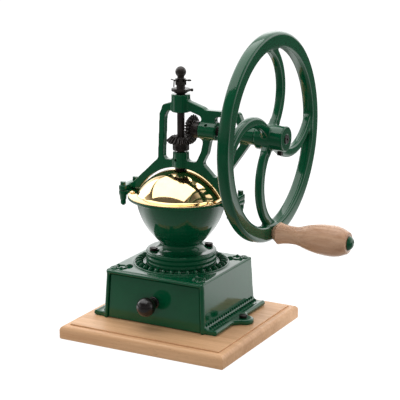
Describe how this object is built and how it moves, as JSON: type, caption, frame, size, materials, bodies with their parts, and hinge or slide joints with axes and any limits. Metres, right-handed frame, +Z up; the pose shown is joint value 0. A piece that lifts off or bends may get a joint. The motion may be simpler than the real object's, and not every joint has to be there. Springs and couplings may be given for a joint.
{
  "type": "hand coffee mill",
  "caption": "Hand-cranked coffee mill: cast housing with drawer on a wooden board, bowl with turning brass cover, bevel gears, conical burrs and a curved-spoke flywheel with wooden grip.",
  "frame": {"origin": "on the underside of the board, under the upright burr shaft", "axes": "+X right, along the wheel shaft to the wheel; -Y front, the drawer side; +Z up"},
  "size_m": [0.3268, 0.246, 0.3695],
  "materials": {
    "green_enamel": "deep green gloss enamel on cast iron",
    "board_wood": "light beech, oiled",
    "grip_wood": "turned beech, satin",
    "tray_wood": "plain beech",
    "brass": "polished",
    "dark_iron": "blackened, slightly shiny",
    "dark_steel": "blackened steel"
  },
  "bodies": {
    "stand": {"base_board": "board_wood", "housing": "green_enamel", "housing_screws": "dark_steel", "bowl": "green_enamel", "bowl_screws": "dark_steel", "burr_ring": "dark_iron", "cover_front": "brass", "cover_screws": "brass", "cover_collar": "dark_iron", "bridge": "green_enamel", "bridge_bolts": "dark_steel", "bridge_nuts": "dark_steel"},
    "drawer": {"drawer_front": "green_enamel", "drawer_tray": "tray_wood", "drawer_screws": "dark_steel", "drawer_knob": "dark_iron", "drawer_knob_screw": "dark_steel"},
    "door": {"cover_door": "brass", "cover_door_knob": "brass"},
    "thrust": {"thrust_washer": "dark_steel"},
    "adjuster": {"adjusting_sleeve": "dark_iron"},
    "burr_shaft": {"main_shaft": "dark_steel", "driven_gear": "dark_iron", "driven_gear_pin": "dark_steel", "burr_cone": "dark_iron", "burr_washer": "dark_steel", "burr_nut": "dark_steel", "castle_nut": "dark_iron", "split_pin": "dark_steel", "finial": "dark_iron"},
    "wheel": {"flywheel": "green_enamel", "drive_shaft": "dark_steel", "drive_gear": "dark_iron", "drive_gear_pin": "dark_steel", "wheel_set_screw": "dark_steel", "grip_bolt": "green_enamel"},
    "grip": {"grip": "grip_wood"}
  },
  "joints": [
    {"name": "wheel_spin", "type": "hinge", "parent": "stand", "child": "wheel", "pos_m": [0.118, 0, 0.2465], "axis": [1, 0, 0], "continuous": true},
    {"name": "grip_spin", "type": "hinge", "parent": "wheel", "child": "grip", "pos_m": [0.173, 0, 0.133], "axis": [1, 0, 0], "continuous": true},
    {"name": "drawer_slide", "type": "slide", "parent": "stand", "child": "drawer", "axis": [0, -1, 0], "range_m": [0, 0.1]},
    {"name": "door_turn", "type": "hinge", "parent": "stand", "child": "door", "pos_m": [0, 0, 0.19], "axis": [0, 0, 1], "range_deg": [0, 155]},
    {"name": "shaft_lift", "type": "slide", "parent": "stand", "child": "thrust", "axis": [0, 0, 1], "range_m": [-0.001, 0.0003]},
    {"name": "adjust_turn", "type": "hinge", "parent": "thrust", "child": "adjuster", "pos_m": [0, 0, 0.292], "axis": [0, 0, 1], "range_deg": [-240, 72]},
    {"name": "shaft_spin", "type": "hinge", "parent": "thrust", "child": "burr_shaft", "pos_m": [0, 0, 0.2465], "axis": [0, 0, 1], "continuous": true}
  ],
  "couplings": [
    {"joint": "shaft_spin", "follows": "wheel_spin", "ratio": 1},
    {"joint": "adjust_turn", "follows": "shaft_lift", "rad_per_m": 4188}
  ]
}
